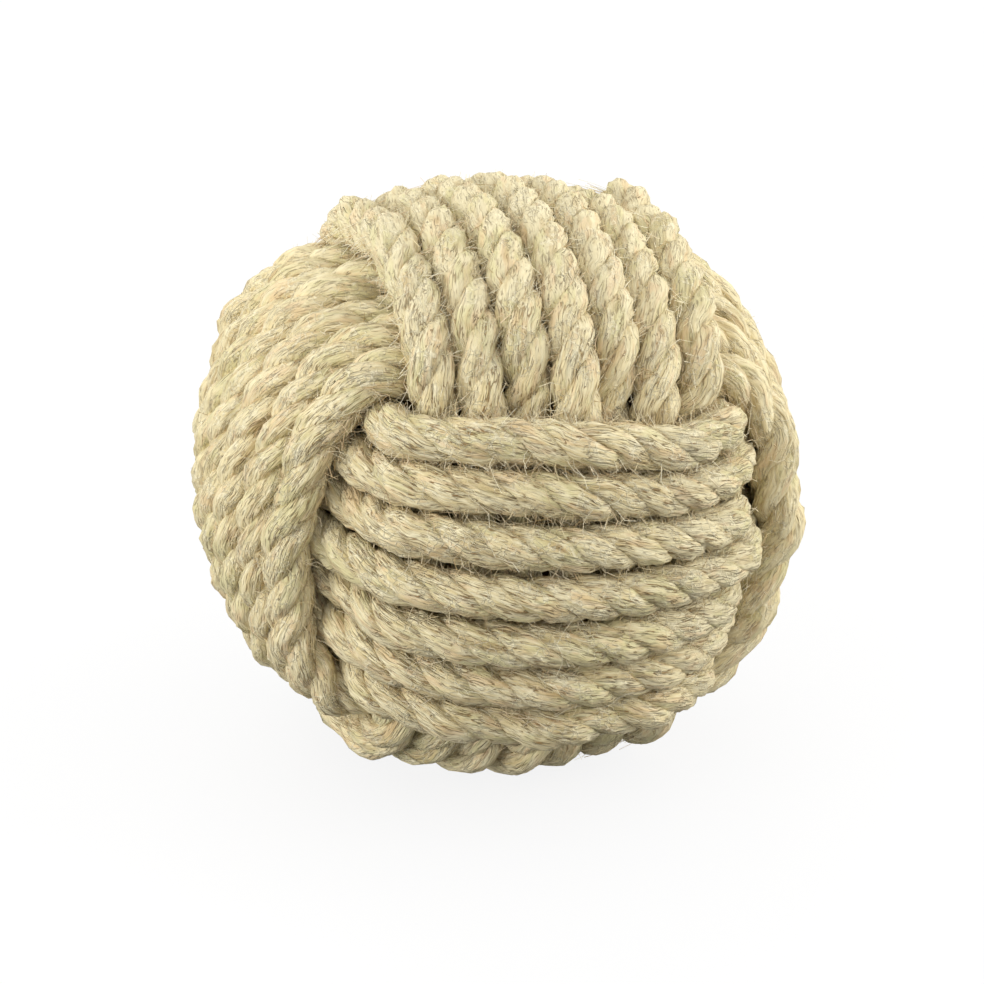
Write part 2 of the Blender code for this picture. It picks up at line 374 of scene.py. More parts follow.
class Band:
    """Seven turns side by side: outside on the outer axis, inside on the inner one."""

    def __init__(self, normal, outer, inner, first_side, spreads, offset):
        self.normal, self.outer, self.inner = normal, outer, inner
        self.first_side, self.offset = first_side, offset
        self.pitches = [ROPE_DIAMETER + spread for spread in spreads]

    def point(self, degrees):
        """Middle of the rope at a running angle, with 90 in the first inner crossing."""
        crossing = (degrees + 90) // 360 - 1
        turn = crossing + smooth_step(((degrees + 90) % 360 - 135) / 90)
        angle = math.radians(degrees)
        near = (1 + math.cos(angle)) / 2
        pitch = self.pitches[0] * near + self.pitches[1] * (1 - near)
        across = self.offset + self.first_side * pitch * ((TURNS - 1) / 2 - turn)
        radius = INNER_RADIUS + CONTACT * outer_share(angle)
        around = math.sqrt(max(radius ** 2 - across ** 2, (radius / 10) ** 2))
        way = math.cos(angle) * self.outer + math.sin(angle) * self.inner
        return across * self.normal + around * way

    def run(self, start, stop):
        """A point every 9 degrees from one running angle to another."""
        return [self.point(degrees) for degrees in np.arange(start, stop + 0.001, 9.0)]

    def corner(self):
        """Way round the corner where the last turn leaves the band."""
        axes = np.array([-self.first_side * self.normal, self.outer, self.inner])
        return [OUTER_RADIUS * (np.array(station) @ axes) for station in CORNER]


top = Band(AXIS_X, AXIS_Z, AXIS_Y, -1, (TOP_SPREAD, BOTTOM_SPREAD), TOP_BAND_OFFSET)
front = Band(AXIS_Z, AXIS_Y, AXIS_X, 1, (BACK_SPREAD, FRONT_SPREAD), FRONT_BAND_OFFSET)
side = Band(AXIS_Y, AXIS_X, -AXIS_Z, 1, (RIGHT_SPREAD, LEFT_SPREAD), SIDE_BAND_OFFSET)
crest = 360 * TURNS
plan_points = (
    top.run(95, crest + 20) + top.corner() + front.run(78, crest + 20) + front.corner()
    + side.run(78, crest + 62))
print("plan: %d points" % len(plan_points))

# %% Working with a line of points


def curve_through(points, pieces=8):
    """Smooth curve through the points, as a Catmull-Rom spline."""
    padded = np.vstack([2 * points[0] - points[1], points, 2 * points[-1] - points[-2]])
    share = (np.arange(pieces) / pieces)[:, None]
    spans = []
    for before, here, there, after in zip(padded, padded[1:], padded[2:], padded[3:]):
        slope = there - before
        bend = 2 * before - 5 * here + 4 * there - after
        twist = 3 * here - before - 3 * there + after
        spans.append(here + 0.5 * (slope * share + bend * share ** 2 + twist * share ** 3))
    return np.vstack(spans + [points[-1:]])


def arc_lengths(points):
    """Distance along the line at each point."""
    steps = np.linalg.norm(np.diff(points[:, :3], axis=0), axis=1)
    return np.concatenate([[0.0], np.cumsum(steps)])


def evenly_spaced(points, spacing):
    """The same line with points at an even spacing; further columns are carried along."""
    along = arc_lengths(points)
    wanted = np.linspace(0, along[-1], int(round(along[-1] / spacing)) + 1)
    return np.stack([np.interp(wanted, along, column) for column in points.T], axis=1)


straight = curve_through(np.array(plan_points))
swing = np.array([[1, 0, 0], [-math.tan(SIDE_SWING), 1, 0], [0, 0, 1]])
swung = straight @ swing.T
swung *= (np.linalg.norm(straight, axis=1) / np.linalg.norm(swung, axis=1))[:, None]
cosine, sine = math.cos(KNOT_LEAN), math.sin(KNOT_LEAN)
lean = np.array([[cosine, 0, sine], [0, 1, 0], [-sine, 0, cosine]])
planned_route = swung @ lean.T
print("planned rope: %.2f m" % arc_lengths(planned_route)[-1])

# %% Settling: the turns push each other into place


def close_pairs(points, along, reach):
    """Pairs of points nearer than the reach that lie on different turns."""
    squares = (points ** 2).sum(axis=1)
    distances = squares[:, None] + squares[None, :] - 2 * points @ points.T
    first, second = np.nonzero(distances < reach ** 2)
    apart = along[second] - along[first] > 1.45 * CONTACT
    return first[apart], second[apart]


def pushes_apart(points, pairs, distance):
    """Moves that part each touching pair by half its lack, and the touches of each point."""
    first, second = pairs
    between = points[second] - points[first]
    length = np.linalg.norm(between, axis=1)
    touching = length < distance
    first, second = first[touching], second[touching]
    lack = (distance - length[touching]) / length[touching]
    move = between[touching] * (0.5 * lack)[:, None]
    total = np.stack([
        np.bincount(second, part, len(points)) - np.bincount(first, part, len(points))
        for part in move.T], axis=1)
    touches = np.bincount(np.concatenate([first, second]), minlength=len(points))
    return total, touches


def settle(route, growing=260, holding=200):
    """Draw the rope tight round the ball.

    A slight pull keeps each turn near its plan, a slight squeeze rounds the ball, and a slight
    tension shortens the rope. All three ease off while the last touching turns are parted.
    """
    planned = np.hstack([route, route])
    for step in range(growing + holding):
        if step % 20 == 0:
            planned = evenly_spaced(planned, ROUTE_STEP)
            points, plan = planned[:, :3].copy(), planned[:, 3:]
            along = arc_lengths(points)
        girth = CONTACT * (0.4 + 0.6 * min(1.0, step / growing))
        if step % 10 == 0:
            pairs = close_pairs(points, along, girth + CONTACT / 3)
        ease = min(1.0, max(0.0, 1 - (step - growing) / (0.6 * holding)))
        points += 0.03 * ease * (plan - points)
        radius = np.linalg.norm(points, axis=1)
        beyond = np.maximum(0, radius - OUTER_RADIUS - 0.1 * ROPE_DIAMETER)
        points *= (1 - (0.02 + 0.08 * ease) * beyond / radius)[:, None]
        points[1:-1] += (0.2 - 0.05 * ease) * ((points[:-2] + points[2:]) / 2 - points[1:-1])
        for repeat in range(2 if step < growing else 4):
            move, touches = pushes_apart(points, pairs, girth)
            points += 1.6 * move / np.maximum(touches, 1)[:, None]
            lift = (INNER_RADIUS + (girth - CONTACT) / 2) / np.linalg.norm(points, axis=1)
            points *= np.maximum(1, lift)[:, None]
            points[:, 2] = np.maximum(points[:, 2], GROUND)
        planned = np.hstack([points, plan])
    return planned[:, :3]


LINE_STEP = 0.0015
settled = settle(planned_route)
rope_line = evenly_spaced(curve_through(settled, 3), LINE_STEP)
print("settled rope: %.2f m, %d points" % (arc_lengths(rope_line)[-1], len(rope_line)))
in_sight = np.linalg.norm(rope_line, axis=1) > (INNER_RADIUS + OUTER_RADIUS) / 2
rope_line = rope_line[in_sight | (np.arange(len(rope_line)) % 2 == 0)] + BALL_CENTRE
print("the hidden turns need fewer: %d points are left" % len(rope_line))

# %% The route as a curve that node trees can read


def poly_line(name, points):
    """Curve data with one straight run from point to point."""
    data = bpy.data.curves.new(name, "CURVE")
    data.dimensions = "3D"
    spline = data.splines.new("POLY")
    spline.points.add(len(points) - 1)
    spline.points.foreach_set("co", np.hstack([points, np.ones((len(points), 1))]).ravel())
    return data


line_data = poly_line("rope_line", rope_line)
low, high = rope_line.min(0) * 1000, rope_line.max(0) * 1000
print("rope line from", low.round(1), "to", high.round(1), "mm")

# %% [markdown]
# ## The jute finish
#
# Jute is a bast fibre: long, flat, pale threads, some greener or redder than the rest, matted
# together with short curled hairs across them. The slits between the threads and the hollows
# between the strands get painted shade. Each strand carries its own coordinates, `fibre_run`: two
# that go round the strand and one along it. Noise that is stretched on them lies along the fibres
# wherever the rope goes. Round coordinates have no seam, and that is why two numbers are used. The
# painted shade in the slits is darkest on the front and fades elsewhere; the top and the right
# front corner are painted paler, as painted light, and the shade in their hollows is lifted.

# %% Colours of the jute, as plain linear values


def colour(red, green, blue):
    """Colour as it is seen on a screen, 0 to 255, made into the linear one that nodes use."""
    shares = [value / 255 for value in (red, green, blue)]
    linear = [((v + 0.055) / 1.055) ** 2.4 if v > 0.04045 else v / 12.92 for v in shares]
    return (*linear, 1.0)


PALE_JUTE = colour(240, 229, 192)
STRAW_JUTE = colour(221, 203, 154)
GREEN_JUTE = colour(210, 202, 150)
TAN_JUTE = colour(226, 190, 146)
# Painted shade: the dark of the slits between the fibre bundles
SLIT_SHADE = colour(142, 102, 50)
# Painted shade for the hollows and low bands between strands and for hairs in grooves; some real
# brown hairs take this colour too
BROWN_AND_GROOVE_SHADE = colour(172, 142, 88)
# Painted light: a paler, duller copy of the jute for the lit top and the right front corner
PAINTED_LIGHT_JUTE = colour(224, 213, 177)
# Painted light that lifts the hollows on top
HOLLOW_PAINTED_LIGHT = colour(250, 242, 212)
CURLED_HAIR = colour(244, 235, 204)
for name, tint in (("slits", SLIT_SHADE), ("pale threads", PALE_JUTE)):
    print(name, [round(value, 2) for value in tint[:3]])

# %% Material of the strands


def new_look(name, roughness, specular):
    """Material with a Principled shader; gives its graph and the shader."""
    look = bpy.data.materials.new(name)
    look.use_nodes = True
    shader = look.node_tree.nodes["Principled BSDF"]
    shader.inputs["Roughness"].default_value = roughness
    shader.inputs["Specular IOR Level"].default_value = specular
    return look, Graph(look.node_tree), shader


def add_sheen(shader, weight, roughness, tint):
    """Soft glow of loose fibre ends at grazing angles."""
    shader.inputs["Sheen Weight"].default_value = weight
    shader.inputs["Sheen Roughness"].default_value = roughness
    shader.inputs["Sheen Tint"].default_value = tint


def paint(graph, shader, base, bump=None):
    """Lead the colour and the relief into the shader."""
    graph.tree.links.new(base.socket, shader.inputs["Base Color"])
    if bump:
        graph.tree.links.new(bump.socket, shader.inputs["Normal"])


ROUND_GRAIN, FIBRE_GRAIN, CLUMP_GRAIN = 2.6, 140.0, 420.0
TUFT_GRAIN = (1.6, 1.6, 230.0)
# Heights over the ball's middle where the top begins and is full: its fibres sway more, and it is
# painted paler, as painted light
TOP_ZONE = (0.035, 0.060)
# The front, where the painted shade in the slits is darker and the thread tones and relief are
# stronger
FRONT_CONTRAST_WAY, FRONT_CONTRAST_ZONE = (-0.27, -0.85, 0.10), (0.015, 0.050)

jute_look, g, shader = new_look("jute_strand", 0.9, 0.1)
add_sheen(shader, 0.35, 0.5, colour(246, 234, 196))
place = g.object_place()
from_ball = place - CENTRE
top_share = from_ball.parts()[2].ramp(*TOP_ZONE)
# Painted light on the top and on the right front corner
painted_light = top_share.at_least(g.attribute("right_corner", "Fac"))
front_contrast = from_ball.dot(FRONT_CONTRAST_WAY).ramp(*FRONT_CONTRAST_ZONE)

strand_x, strand_y, strand_along = g.attribute("fibre_run", "Vector").parts()
sway = (g.noise(place, 160.0, 1.0) - 0.5) * (0.5 + top_share * 0.7)
fibres = g.vector(
    (strand_x + sway) * ROUND_GRAIN, (strand_y - sway) * ROUND_GRAIN, strand_along * FIBRE_GRAIN)
clumps = g.vector(
    strand_x * ROUND_GRAIN, strand_y * ROUND_GRAIN, strand_along * CLUMP_GRAIN)
fine = g.noise(fibres, 2.8, 2.0, 0.5)
threads = g.noise(fibres, 1.1, 2.0, 0.5, 0.4)
locks = g.noise(fibres, 0.6, 1.0)
long_slits = 1 - (g.noise(fibres, 1.5, 1.0, 0.5, 0.3) - 0.5).size().ramp(0.0, 0.045)
short_slits = g.noise(fibres, 3.6, 1.0, 0.5).ramp(0.38, 0.27)
slit_zone = g.noise(clumps, 0.7, 1.0).ramp(0.46, 0.62)
slit = (long_slits * slit_zone).at_least(short_slits)
patches = g.noise(place, 55.0, 2.0)
tints = g.noise(clumps, 0.5, 2.0)
blush = g.noise(clumps, 0.45, 2.0)
mats = g.noise(clumps, 0.8, 2.0)
tufts = g.noise(g.vector(strand_x, strand_y, strand_along) * TUFT_GRAIN, 1.0, 1.0)
curls = 1 - (g.noise(place, 330.0, 1.0) - 0.5).size().ramp(0.0, 0.03)
more_curls = 1 - (g.noise(place + (0.3, 0.1, 0.2), 460.0, 1.0) - 0.5).size().ramp(0.0, 0.03)
curls = curls.at_least(more_curls) * g.noise(place, 140.0, 1.0).ramp(0.42, 0.58)
# Where a strand's face turns in under its neighbours: these hollows get painted shade, and painted
# light on top
hollow = (g.attribute("crown", "Fac") + (threads - 0.5) * 0.9).ramp(0.1, -0.5)

pale = (fine * 0.5 + threads * 0.25 + mats * 0.25).ramp(0.38, 0.62)
pale = (pale - 0.5) * (0.6 + front_contrast * 0.4) + 0.5
base = g.mix(pale, STRAW_JUTE, PALE_JUTE)
# Painted light: a paler copy of the jute on top and at the right front corner
base = g.mix(painted_light * 0.7, base, PAINTED_LIGHT_JUTE)
base = g.mix((patches + tints).ramp(1.0, 1.2) * 0.6, base, GREEN_JUTE)
base = g.mix(blush.ramp(0.54, 0.66) * 0.4, base, TAN_JUTE)
# Painted shade in the low broad bands of the relief, lessened under the painted light
base = g.mix(locks.ramp(0.46, 0.30) * (0.4 - painted_light * 0.3), base, BROWN_AND_GROOVE_SHADE)
# Painted shade in the slits between fibre bundles, darkest on the front
base = g.mix(slit * (0.35 + front_contrast * 0.5), base, SLIT_SHADE)
# Painted shade in the hollows between strands, none under the painted light
base = g.mix(hollow * (0.35 - painted_light * 0.35), base, BROWN_AND_GROOVE_SHADE)
# Painted light in the hollows on top
base = g.mix(hollow * painted_light * 0.7, base, HOLLOW_PAINTED_LIGHT)
# Painted shade in the dents between tufts on top
base = g.mix(tufts.ramp(0.46, 0.32) * painted_light * 0.35, base, BROWN_AND_GROOVE_SHADE)
base = g.mix(curls * 0.6, base, CURLED_HAIR)

relief = fine * 0.5 + threads * 0.9 + mats * 1.0 + locks * 0.8 - slit * 0.4
relief = (relief + curls * 0.2) * (0.6 + front_contrast * 0.4)
bump = g.node("ShaderNodeBump", {}, {"Strength": 1.0, "Distance": 0.0010, "Height": relief})
paint(g, shader, base, bump)
print("strand finish: %d nodes" % len(jute_look.node_tree.nodes))

# %% [markdown]
# ## Three strands laid into a rope
#
# A laid rope is three strands twisted round each other. Each is a tube whose middle circles the
# rope's own middle once in every lay. Its fibres turn the other way, which keeps a rope from
# coming unlaid. One tree makes a strand, and its `Phase` input turns it a third of the way round
# for the next. The tube is a little flatter on the front and at the right front corner, and wider
# on top, where the lay is matted; its face is uneven, as spun fibre is.

# %% Tree of one strand
STRAND_SIZES = {
    "Lay length": 0.0256, "Strand offset": 0.0024, "Strand width": 0.0027,
    "Strand thickness": 0.0027, "Front flattening": 0.0004, "Phase": 0.0, "Fibre turn": -0.021,
    "Ridge height": 0.0010, "Sides": 20, "Look": jute_look}

FULL_TURN = 2 * math.pi
RIDGE_GRAIN = (2.8, 2.8, 130.0)

# The fibres' slope on a strand's face: the radius it is taken at, and its share of the lay
FIBRE_REACH, LAY_SHARE = 0.0021, 0.87

# Where the twine binds the rope in, and the zones of the ball whose strands are flatter or wider
BOUND_END, FREE_AGAIN, BOUND_GIRTH = 0.0105, 0.016, 0.86
FRONT_WAY, FRONT_ZONE = (-0.3, -0.9, 0.1), (0.035, 0.05)
RIGHT_CORNER_WAY, RIGHT_CORNER_ZONE = (0.68, -0.73, 0.0), (0.048, 0.057)
SOFT_TOP = (0.042, 0.058)

g, size = shape_tree("laid_strand", STRAND_SIZES)
line = g.node("GeometryNodeSetCurveNormal", {"mode": "MINIMUM_TWIST"}, {"Curve": size["Geometry"]})
along = g.node("GeometryNodeSplineParameter", {}, {}).output("Length")
to_end = along.at_most(g.node("GeometryNodeSplineLength", {}, {}) - along)
bound = to_end.ramp(BOUND_END, FREE_AGAIN, BOUND_GIRTH, 1.0)
line = g.keep(line, "along", along)
line = g.keep(line, "girth", bound)
radial = g.node("ShaderNodeVectorRotate", {"rotation_type": "AXIS_ANGLE"}, {
    "Vector": g.node("GeometryNodeInputNormal", {}, {}),
    "Axis": g.node("GeometryNodeInputTangent", {}, {}),
    "Angle": size["Phase"] + along * FULL_TURN / size["Lay length"]})
line = g.keep(line, "outward", radial)
wander = g.noise(g.vector(along, size["Phase"], 0.0), 120.0, 1.0) - 0.5
here = g.node("GeometryNodeInputPosition", {}, {})
offset = g.kept("outward") * (size["Strand offset"] * bound * (1 + wander * 0.16))
line = g.node("GeometryNodeSetPosition", {}, {"Geometry": line, "Position": here + offset})
line = g.keep(line, "way", g.node("GeometryNodeInputTangent", {}, {}))
line = g.keep(line, "middle", here)
circle = g.node("GeometryNodeCurvePrimitiveCircle", {"mode": "RADIUS"}, {
    "Resolution": size["Sides"], "Radius": 1.0})
circle = g.keep(circle, "ring", here)
tube = g.node("GeometryNodeCurveToMesh", {}, {
    "Curve": line, "Profile Curve": circle, "Fill Caps": True})

ring_x, ring_y, _ = g.kept("ring").parts()
way = g.kept("way")
sideways = way.cross(g.kept("outward")).unit()
upward = sideways.cross(way)
along = g.kept("along", "FLOAT")
turn = along * FULL_TURN / size["Fibre turn"]
fibre_x = ring_x * turn.cosine() - ring_y * turn.sine()
fibre_y = ring_x * turn.sine() + ring_y * turn.cosine()
fibre_run = g.vector(fibre_x, fibre_y, along)
ridge = g.noise(fibre_run * RIDGE_GRAIN, 1.0, 1.0) - 0.5
tuft = g.noise(fibre_run * TUFT_GRAIN, 1.0, 1.0) - 0.5

swell = g.kept("girth", "FLOAT")
from_ball = g.kept("middle") - CENTRE
front = from_ball.dot(FRONT_WAY).ramp(*FRONT_ZONE)
level = way.parts()[2].size().ramp(0.7, 0.4)
# The right front corner: its strands are flatter here, and the finish paints it paler, as painted
# light
right_corner = from_ball.dot(RIGHT_CORNER_WAY).ramp(*RIGHT_CORNER_ZONE) * level
soft_top = from_ball.parts()[2].ramp(*SOFT_TOP) * size["Front flattening"]
flatter = front.at_least(right_corner * 1.8) * size["Front flattening"]
width = size["Strand width"] + flatter * 0.5 + soft_top
reach = upward * (ring_y * swell * (size["Strand thickness"] - flatter))
reach = reach + sideways * (ring_x * swell * width)
reach = reach + reach.unit() * (ridge * size["Ridge height"] * 2 + tuft * soft_top * 4)
x, y, z = (g.kept("middle") + reach).parts()
tube = g.node("GeometryNodeSetPosition", {}, {
    "Geometry": tube, "Position": g.vector(x, y, z.at_least(0.0))})

tube = g.keep(tube, "fibre_run", fibre_run)
around = upward * ring_x - sideways * ring_y
turns = LAY_SHARE / size["Lay length"] + 1 / size["Fibre turn"]
slope = turns * (FULL_TURN * FIBRE_REACH)
tube = g.keep(tube, "fibre_way", (way - around * slope).unit())
tube = g.keep(tube, "crown", ring_y)
tube = g.keep(tube, "right_corner", right_corner)
tube = g.forget(tube, ["along", "girth", "outward", "way", "middle", "ring"])
finish_tree(g, tube, size["Look"])
strand_tree = g
print("strand tree: %d nodes" % len(g.tree.nodes))

# %% Lay the three strands
strands = []
for number in range(3):
    sizes = {**STRAND_SIZES, "Phase": number * FULL_TURN / 3}
    strand = grow("rope_strand_%d" % (number + 1), line_data, strand_tree, sizes)
    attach(strand, BODY)
    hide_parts("rope")
    strands.append(strand)
low = min(vertex.co.z for strand in strands for vertex in strand.data.vertices)
print("the strands stand at %.2f mm" % (low * 1000))

# %% [markdown]
# ## Loose fibres
#
# Jute is never smooth: cut fibre ends stand off it, and longer hairs bridge the gaps between turns.
# A tree scatters points over the strands and grows a thin three-sided hair from each. There are
# four kinds: matted hairs lie flat along the fibres and roughen the face, risen ones stand off it,
# tangled ones fill the grooves on top, and long stray ones curl over the turns. Only the outside
# of the ball gets them, because nobody can see the ones inside.

# %% Material of the hairs
# Depths in the grooves where hairs get painted shade, and the heights of the lit top where it is
# less
GROOVE_DEPTHS, LIT_TOP = (0.0632, 0.0600), (0.025, 0.050)

hair_look, g, shader = new_look("jute_hair", 0.9, 0.1)
add_sheen(shader, 0.3, 0.6, colour(250, 232, 180))
tone = g.attribute("tone", "Fac")
place = g.object_place()
mottle = g.noise(place, 900.0, 1.0)
base = g.mix(tone.ramp(0.0, 0.6), colour(232, 218, 174), colour(250, 243, 216))
base = g.mix(tone.ramp(0.84, 0.87) * 0.6, base, TAN_JUTE)
base = g.mix(tone.ramp(0.95, 0.97) * 0.8, base, BROWN_AND_GROOVE_SHADE)
base = g.mix(mottle.ramp(0.5, 0.8) * 0.3, base, STRAW_JUTE)
out = place - CENTRE
# Painted shade on hairs deep in the grooves, less on the lit top
groove_shade = out.size().ramp(*GROOVE_DEPTHS) * (0.5 - out.parts()[2].ramp(*LIT_TOP) * 0.4)
base = g.mix(groove_shade, base, BROWN_AND_GROOVE_SHADE)
paint(g, shader, base)
print("hair finish: %d nodes" % len(hair_look.node_tree.nodes))

# %% Tree of the hairs
HAIR_SIZES = {
    "Hairs per square metre": 860000.0, "More above": -0.35, "Shortest": 0.002, "Longest": 0.005,
    "Lowest": 0.0, "Highest": 0.0005, "Rise": 0.0, "Bow": 0.008, "Over the ball": 0.0,
    "Sideways": 1.3, "Curl": 0.6, "Groove lift": 0.0008, "Hair radius": 0.00007,
    "Inner limit": 0.0550, "Outer limit": 0.0700, "Least facing": 0.1, "Browner": 0.0,
    "Half": 1.0, "Points": 3, "Seed": 1, "Look": hair_look}
UPPER_ZONE = (0.012, 0.030)

# A hair stays within this reach of the ball's centre and a little past its root, and off the floor
BALL_REACH, PAST_ROOT = (0.0630, 0.0640), 0.0004
HAIR_GROUND = 0.0001

g, size = shape_tree("loose_fibres", HAIR_SIZES)
here = g.node("GeometryNodeInputPosition", {}, {})
from_ball = here - CENTRE
face = g.node("GeometryNodeInputNormal", {}, {})
outside = from_ball.size().ramp(size["Inner limit"], size["Inner limit"] + 0.001)
facing = face.dot(from_ball.unit()).ramp(size["Least facing"], size["Least facing"] + 0.3)
here_half = (from_ball.parts()[2] * size["Half"]).ramp(-0.000001, 0.000001)
groove = g.kept("crown", "FLOAT").ramp(0.6, 0.0)
within = from_ball.size().ramp(size["Outer limit"] + 0.0005, size["Outer limit"])
above = from_ball.parts()[2].ramp(*UPPER_ZONE) * size["More above"] + 1
share = outside * within * facing * here_half * above * (0.75 + groove * 0.6)
points = g.node("GeometryNodeDistributePointsOnFaces", {"distribute_method": "RANDOM"}, {
    "Mesh": size["Geometry"], "Density": size["Hairs per square metre"] * share,
    "Seed": size["Seed"]})
normal = points.output("Normal")
dots = g.keep(points, "face", (normal + (from_ball.unit() - normal) * size["Over the ball"]).unit())
dots = g.keep(dots, "root", here)
for number in (1, 2):
    chance = g.node("FunctionNodeRandomValue", {"data_type": "FLOAT_VECTOR"}, {
        "Min": (0.0, 0.0, 0.0), "Max": (1.0, 1.0, 1.0), "Seed": size["Seed"] * 7 + number})
    dots = g.keep(dots, "chance_%d" % number, chance)
thread = g.node("GeometryNodeCurvePrimitiveLine", {"mode": "POINTS"}, {"End": (0.0, 0.0, 1.0)})
thread = g.node("GeometryNodeResampleCurve", {"mode": "COUNT"}, {
    "Curve": thread, "Count": size["Points"]})
thread = g.keep(thread, "step", g.node("GeometryNodeSplineParameter", {}, {}))
hairs = g.node("GeometryNodeInstanceOnPoints", {}, {"Points": dots, "Instance": thread})
hairs = g.node("GeometryNodeRealizeInstances", {}, {"Geometry": hairs})

step = g.kept("step", "FLOAT")
up = g.kept("face")
lot_1, lot_2, lot_3 = g.kept("chance_1").parts()
lot_4, lot_5, lot_6 = g.kept("chance_2").parts()
beside = up.cross(g.kept("fibre_way")).unit()
fibre = beside.cross(up)
heading = (fibre + beside * ((lot_1 - 0.5) * 2 * size["Sideways"])).unit()
beside = up.cross(heading)
length = size["Shortest"] + (size["Longest"] - size["Shortest"]) * lot_2
risen = size["Rise"].ramp(0.0, 0.1)
forward = (step - 0.5 * (1 - risen)) * length
droop = forward * forward * (1 - risen) / (size["Bow"] * 2)
height = size["Lowest"] + (size["Highest"] - size["Lowest"]) * lot_3 - droop
height = height + g.kept("crown", "FLOAT").ramp(0.6, 0.0) * lot_6 * size["Groove lift"]
height = height + step ** 1.4 * size["Rise"] * length * lot_3
bend = (step ** 2) * length * (lot_4 - 0.5) * 2 * size["Curl"]
wave = (step * 9 + lot_5 * 20).sine() * length * size["Curl"] * 0.15
spot = g.kept("root") + heading * forward + up * height + beside * (bend + wave)
out = spot - CENTRE
room = (g.kept("root") - CENTRE).size().at_least(BALL_REACH[0]).at_most(BALL_REACH[1])
held_in = ((room + PAST_ROOT) / out.size()).at_most(1.0)
x, y, z = (out * held_in + CENTRE).parts()
hairs = g.node("GeometryNodeSetPosition", {}, {
    "Geometry": hairs, "Position": g.vector(x, y, z.at_least(HAIR_GROUND))})
tip = 1 - step * 0.5
circle = g.node("GeometryNodeCurvePrimitiveCircle", {"mode": "RADIUS"}, {
    "Resolution": 3, "Radius": size["Hair radius"]})
fuzz = g.node("GeometryNodeCurveToMesh", {}, {
    "Curve": hairs, "Profile Curve": circle, "Scale": tip * (0.7 + lot_5 * 0.6),
    "Fill Caps": True})
fuzz = g.keep(fuzz, "tone", lot_6 + (1 - lot_6) * size["Browner"])
fuzz = g.forget(fuzz, [
    "step", "face", "root", "chance_1", "chance_2", "fibre_way", "crown", "fibre_run", "right_corner"])
finish_tree(g, fuzz, size["Look"])
hair_tree = g
print("hair tree: %d nodes" % len(g.tree.nodes))

# %% Grow the hairs
HAIR_KINDS = {
    "matted": HAIR_SIZES,
    "risen": {
        **HAIR_SIZES, "Hairs per square metre": 110000.0, "More above": 8.0, "Lowest": -0.0003,
        "Highest": 0.0, "Rise": 0.4, "Sideways": 2.0, "Curl": 0.7, "Inner limit": 0.0575},
    "tangled": {
        **HAIR_SIZES, "Hairs per square metre": 95000.0, "More above": 7.0, "Shortest": 0.003,
        "Longest": 0.006, "Highest": 0.0, "Bow": 0.050, "Over the ball": 1.0, "Sideways": 1.5,
        "Curl": 0.5, "Hair radius": 0.00010, "Inner limit": 0.0540, "Outer limit": 0.0610,
        "Least facing": -0.2, "Browner": 0.6},
    "stray": {
        **HAIR_SIZES, "Hairs per square metre": 250000.0, "More above": 0.0, "Shortest": 0.005,
        "Longest": 0.015, "Lowest": 0.0004, "Highest": 0.0016, "Bow": 0.050,
        "Over the ball": 1.0, "Sideways": 1.8, "Curl": 0.5, "Inner limit": 0.0575, "Points": 6}}
for kind, sizes in HAIR_KINDS.items():
    for number, strand in enumerate(strands):
        for half, part in ((1.0, "upper"), (-1.0, "lower")):
            fuzz = grow("%s_%s_%d" % (kind, part, number + 1), strand.data, hair_tree, {
                **sizes, "Half": half, "Seed": number + 1 + 10 * list(HAIR_KINDS).index(kind)})
            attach(fuzz, BODY)
pieces = [piece for piece in bpy.context.scene.objects if piece.type == "MESH"]
print("triangles so far:", sum(len(piece.data.loop_triangles) for piece in pieces))

# %% [markdown]
# ## Whippings on the two ends
#
# A cut rope frays, so each end is bound with thin twine before it is tucked inside. Twine round a
# rope is the same shape as a strand in one: a helix about the rope's line. The strand tree makes
# it too, with a lay as short as the twine is thick.

# %% Material of the twine
PLY_GRAIN = (1.0, 1.0, 2500.0)

twine_look, g, shader = new_look("whipping_twine", 0.8, 0.25)
ply = g.noise(g.attribute("fibre_run", "Vector") * PLY_GRAIN, 1.2, 2.0)
base = g.mix(ply.ramp(0.3, 0.7), colour(150, 122, 82), colour(186, 158, 112))
bump = g.node("ShaderNodeBump", {}, {"Strength": 0.6, "Distance": 0.0002, "Height": ply})
paint(g, shader, base, bump)
print("twine finish: %d nodes" % len(twine_look.node_tree.nodes))

# %% Wind the twine
TWINE_SIZES = {
    "Lay length": 0.0009, "Strand offset": 0.0046, "Strand width": 0.00042,
    "Strand thickness": 0.00042, "Front flattening": 0.0, "Phase": 0.0, "Fibre turn": 0.004,
    "Ridge height": 0.0, "Sides": 8, "Look": twine_look}
TWINE_START, TWINE_STOP, TWINE_STEP = 0.00225, 0.01025, 0.00004


def twine_line(name, points):
    """Short stretch of the rope's line under a whipping, with points close enough for a helix."""
    along = arc_lengths(points)
    wanted = np.arange(TWINE_START, TWINE_STOP, TWINE_STEP)
    stretch = np.stack([np.interp(wanted, along, column) for column in points.T], axis=1)
    return poly_line(name, stretch)


for node, points in (("whipping_start", rope_line), ("whipping_finish", rope_line[::-1])):
    twine = grow(node + "_twine", twine_line(node + "_line", points), strand_tree, TWINE_SIZES)
    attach(twine, BODY)
    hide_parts(node)
    node_low, node_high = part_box(node)
    node_middle = np.array((node_low + node_high) / 2)
    places = np.array([vertex.co for vertex in twine.data.vertices])
    away = np.linalg.norm((places.min(0) + places.max(0)) / 2 - node_middle)
    print("%s lies %.1f mm from its solid" % (twine.name, away * 1000))

# %% [markdown]
# ## The wooden core
#
# The ball inside is turned wood. It is the solid model's own shape and stays; it only needs its
# grain: rings about one axis, bent by noise.

